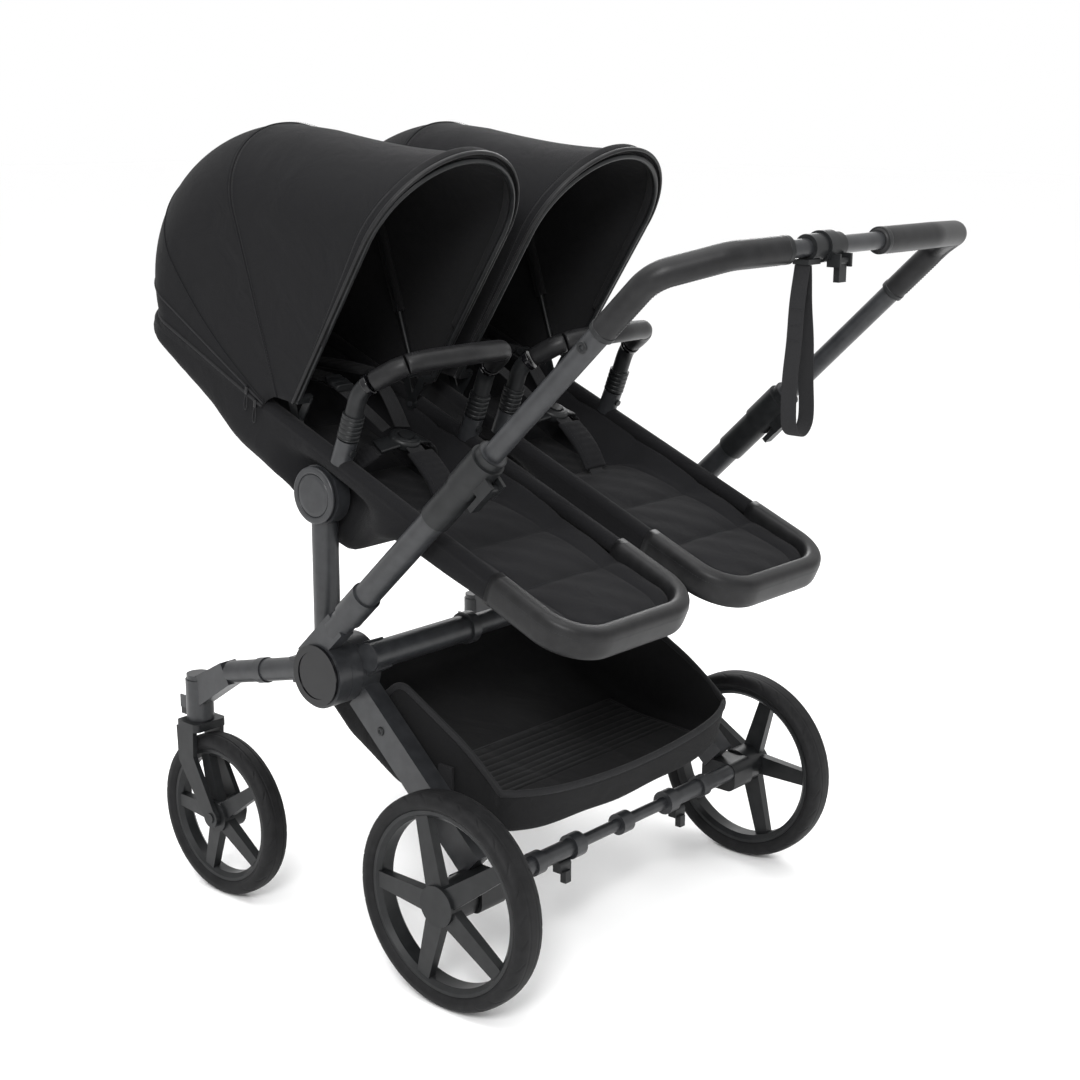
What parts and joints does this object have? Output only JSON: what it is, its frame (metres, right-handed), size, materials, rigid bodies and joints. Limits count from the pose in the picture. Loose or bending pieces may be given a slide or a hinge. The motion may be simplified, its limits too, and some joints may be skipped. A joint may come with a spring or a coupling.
{
  "type": "twin stroller",
  "caption": "Side-by-side twin pushchair with parent-facing seats, folding canopies, bumper bars, swivelling front wheels, sliding handlebar and under-seat basket.",
  "frame": {"origin": "on the floor under the middle of the stroller's overall box", "axes": "+X is the stroller's left side, travel is towards -Y with the small swivel wheels leading, the handlebar is at +Y"},
  "size_m": [0.746, 1.1118, 1.1614],
  "materials": {
    "frame": null,
    "plastic": null,
    "tyre": null,
    "cloth": null,
    "grip": null,
    "webbing": null,
    "cap": null,
    "bar_metal": null
  },
  "bodies": {
    "chassis": {"fold_hubs": "frame", "rear_legs": "frame", "rear_axle_carriers": "plastic", "rear_bar_sleeves": "frame", "rear_bar_inner": "bar_metal", "main_cross_sleeves": "frame", "main_cross_inner": "bar_metal", "seat_uprights": "frame", "middle_post": "frame", "shopping_basket": "cloth", "basket_straps": "webbing"},
    "front_frame": {"front_arms": "frame"},
    "handle_lower": {"handle_sockets": "frame", "hub_caps": "cap", "height_clamps": "plastic"},
    "handle_upper": {"handle_upper_tubes": "bar_metal", "handle_bar": "bar_metal", "handle_grips": "grip", "brake_bracket": "plastic", "wrist_strap": "webbing"},
    "height_levers": {"height_levers": "plastic"},
    "brake_lever": {"brake_lever": "plastic"},
    "width_lock_levers": {"width_lock_levers": "plastic"},
    "swivel_lock_tabs": {"swivel_lock_tabs": "plastic"},
    "caster_left": {"caster_fork_left": "frame"},
    "front_wheel_left": {"front_tyre_left": "tyre", "front_rim_left": "plastic"},
    "rear_wheel_left": {"rear_tyre_left": "tyre", "rear_rim_left": "plastic"},
    "seat_left": {"seat_frame_left": "frame", "seat_shell_left": "cloth", "seat_liner_left": "cloth", "harness_left": "webbing"},
    "canopy_mid_left": {"canopy_bow_mid_left": "frame", "canopy_rear_left": "cloth"},
    "canopy_front_left": {"canopy_bow_front_left": "frame", "canopy_front_left": "cloth"},
    "bumper_bar_left": {"bumper_bar_left": "grip"},
    "bar_buttons_left": {"bar_buttons_left": "plastic"},
    "buckle_button_left": {"buckle_button_left": "plastic"},
    "caster_right": {"caster_fork_right": "frame"},
    "front_wheel_right": {"front_tyre_right": "tyre", "front_rim_right": "plastic"},
    "rear_wheel_right": {"rear_tyre_right": "tyre", "rear_rim_right": "plastic"},
    "seat_right": {"seat_frame_right": "frame", "seat_shell_right": "cloth", "seat_liner_right": "cloth", "harness_right": "webbing"},
    "canopy_mid_right": {"canopy_bow_mid_right": "frame", "canopy_rear_right": "cloth"},
    "canopy_front_right": {"canopy_bow_front_right": "frame", "canopy_front_right": "cloth"},
    "bumper_bar_right": {"bumper_bar_right": "grip"},
    "bar_buttons_right": {"bar_buttons_right": "plastic"},
    "buckle_button_right": {"buckle_button_right": "plastic"}
  },
  "joints": [
    {"name": "fold", "type": "hinge", "parent": "chassis", "child": "handle_lower", "pos_m": [0, -0.1181, 0.413], "axis": [1, 0, 0], "range_deg": [0, 115]},
    {"name": "front_arm_fold", "type": "hinge", "parent": "chassis", "child": "front_frame", "pos_m": [0, -0.1181, 0.413], "axis": [1, 0, 0], "range_deg": [0, 36]},
    {"name": "handle_height", "type": "slide", "parent": "handle_lower", "child": "handle_upper", "axis": [0, 0.7181, 0.6959], "range_m": [-0.14, 0]},
    {"name": "height_lever_flip", "type": "hinge", "parent": "handle_lower", "child": "height_levers", "pos_m": [0, 0.20075, 0.72199], "axis": [1, 0, 0], "range_deg": [0, 60]},
    {"name": "brake_squeeze", "type": "hinge", "parent": "handle_upper", "child": "brake_lever", "pos_m": [0.098, 0.5499, 1.012], "axis": [1, 0, 0], "range_deg": [0, 35]},
    {"name": "width_lock_flip", "type": "hinge", "parent": "chassis", "child": "width_lock_levers", "pos_m": [0, 0.1579, 0.1414], "axis": [1, 0, 0], "range_deg": [0, 50]},
    {"name": "swivel_lock_flip", "type": "hinge", "parent": "front_frame", "child": "swivel_lock_tabs", "pos_m": [0, -0.4521, 0.294], "axis": [1, 0, 0], "range_deg": [-40, 0]},
    {"name": "caster_swivel_left", "type": "hinge", "parent": "front_frame", "child": "caster_left", "pos_m": [0.311, -0.4251, 0.27], "axis": [0, 0, 1], "continuous": true},
    {"name": "front_wheel_left_spin", "type": "hinge", "parent": "caster_left", "child": "front_wheel_left", "pos_m": [0.311, -0.3736, 0.1273], "axis": [1, 0, 0], "continuous": true},
    {"name": "rear_wheel_left_spin", "type": "hinge", "parent": "chassis", "child": "rear_wheel_left", "pos_m": [0.346, 0.1379, 0.1524], "axis": [1, 0, 0], "continuous": true},
    {"name": "seat_tilt_left", "type": "hinge", "parent": "chassis", "child": "seat_left", "pos_m": [0.164, -0.1581, 0.658], "axis": [1, 0, 0], "range_deg": [-22, 20]},
    {"name": "canopy_mid_turn_left", "type": "hinge", "parent": "seat_left", "child": "canopy_mid_left", "pos_m": [0.164, -0.21937, 0.75049], "axis": [1, 0, 0], "range_deg": [0, 20], "deforming": ["canopy_rear_left"]},
    {"name": "canopy_front_turn_left", "type": "hinge", "parent": "canopy_mid_left", "child": "canopy_front_left", "pos_m": [0.164, -0.21937, 0.75049], "axis": [1, 0, 0], "range_deg": [0, 37], "deforming": ["canopy_front_left"]},
    {"name": "bumper_bar_lift_left", "type": "slide", "parent": "seat_left", "child": "bumper_bar_left", "axis": [0, 0.3827, 0.9239], "range_m": [0, 0.04]},
    {"name": "bar_buttons_press_left", "type": "slide", "parent": "seat_left", "child": "bar_buttons_left", "axis": [0, 0.9239, -0.3827], "range_m": [-0.0015, 0], "stiffness_N_per_m": 800},
    {"name": "buckle_press_left", "type": "slide", "parent": "seat_left", "child": "buckle_button_left", "axis": [0, 0.3827, 0.9239], "range_m": [-0.002, 0], "stiffness_N_per_m": 800},
    {"name": "caster_swivel_right", "type": "hinge", "parent": "front_frame", "child": "caster_right", "pos_m": [-0.311, -0.4251, 0.27], "axis": [0, 0, 1], "continuous": true},
    {"name": "front_wheel_right_spin", "type": "hinge", "parent": "caster_right", "child": "front_wheel_right", "pos_m": [-0.311, -0.3736, 0.1273], "axis": [1, 0, 0], "continuous": true},
    {"name": "rear_wheel_right_spin", "type": "hinge", "parent": "chassis", "child": "rear_wheel_right", "pos_m": [-0.346, 0.1379, 0.1524], "axis": [1, 0, 0], "continuous": true},
    {"name": "seat_tilt_right", "type": "hinge", "parent": "chassis", "child": "seat_right", "pos_m": [-0.164, -0.1581, 0.658], "axis": [1, 0, 0], "range_deg": [-22, 20]},
    {"name": "canopy_mid_turn_right", "type": "hinge", "parent": "seat_right", "child": "canopy_mid_right", "pos_m": [-0.164, -0.21937, 0.75049], "axis": [1, 0, 0], "range_deg": [0, 20], "deforming": ["canopy_rear_right"]},
    {"name": "canopy_front_turn_right", "type": "hinge", "parent": "canopy_mid_right", "child": "canopy_front_right", "pos_m": [-0.164, -0.21937, 0.75049], "axis": [1, 0, 0], "range_deg": [0, 37], "deforming": ["canopy_front_right"]},
    {"name": "bumper_bar_lift_right", "type": "slide", "parent": "seat_right", "child": "bumper_bar_right", "axis": [0, 0.3827, 0.9239], "range_m": [0, 0.04]},
    {"name": "bar_buttons_press_right", "type": "slide", "parent": "seat_right", "child": "bar_buttons_right", "axis": [0, 0.9239, -0.3827], "range_m": [-0.0015, 0], "stiffness_N_per_m": 800},
    {"name": "buckle_press_right", "type": "slide", "parent": "seat_right", "child": "buckle_button_right", "axis": [0, 0.3827, 0.9239], "range_m": [-0.002, 0], "stiffness_N_per_m": 800}
  ],
  "couplings": [
    {"joint": "front_arm_fold", "follows": "fold", "ratio": 0.3}
  ]
}
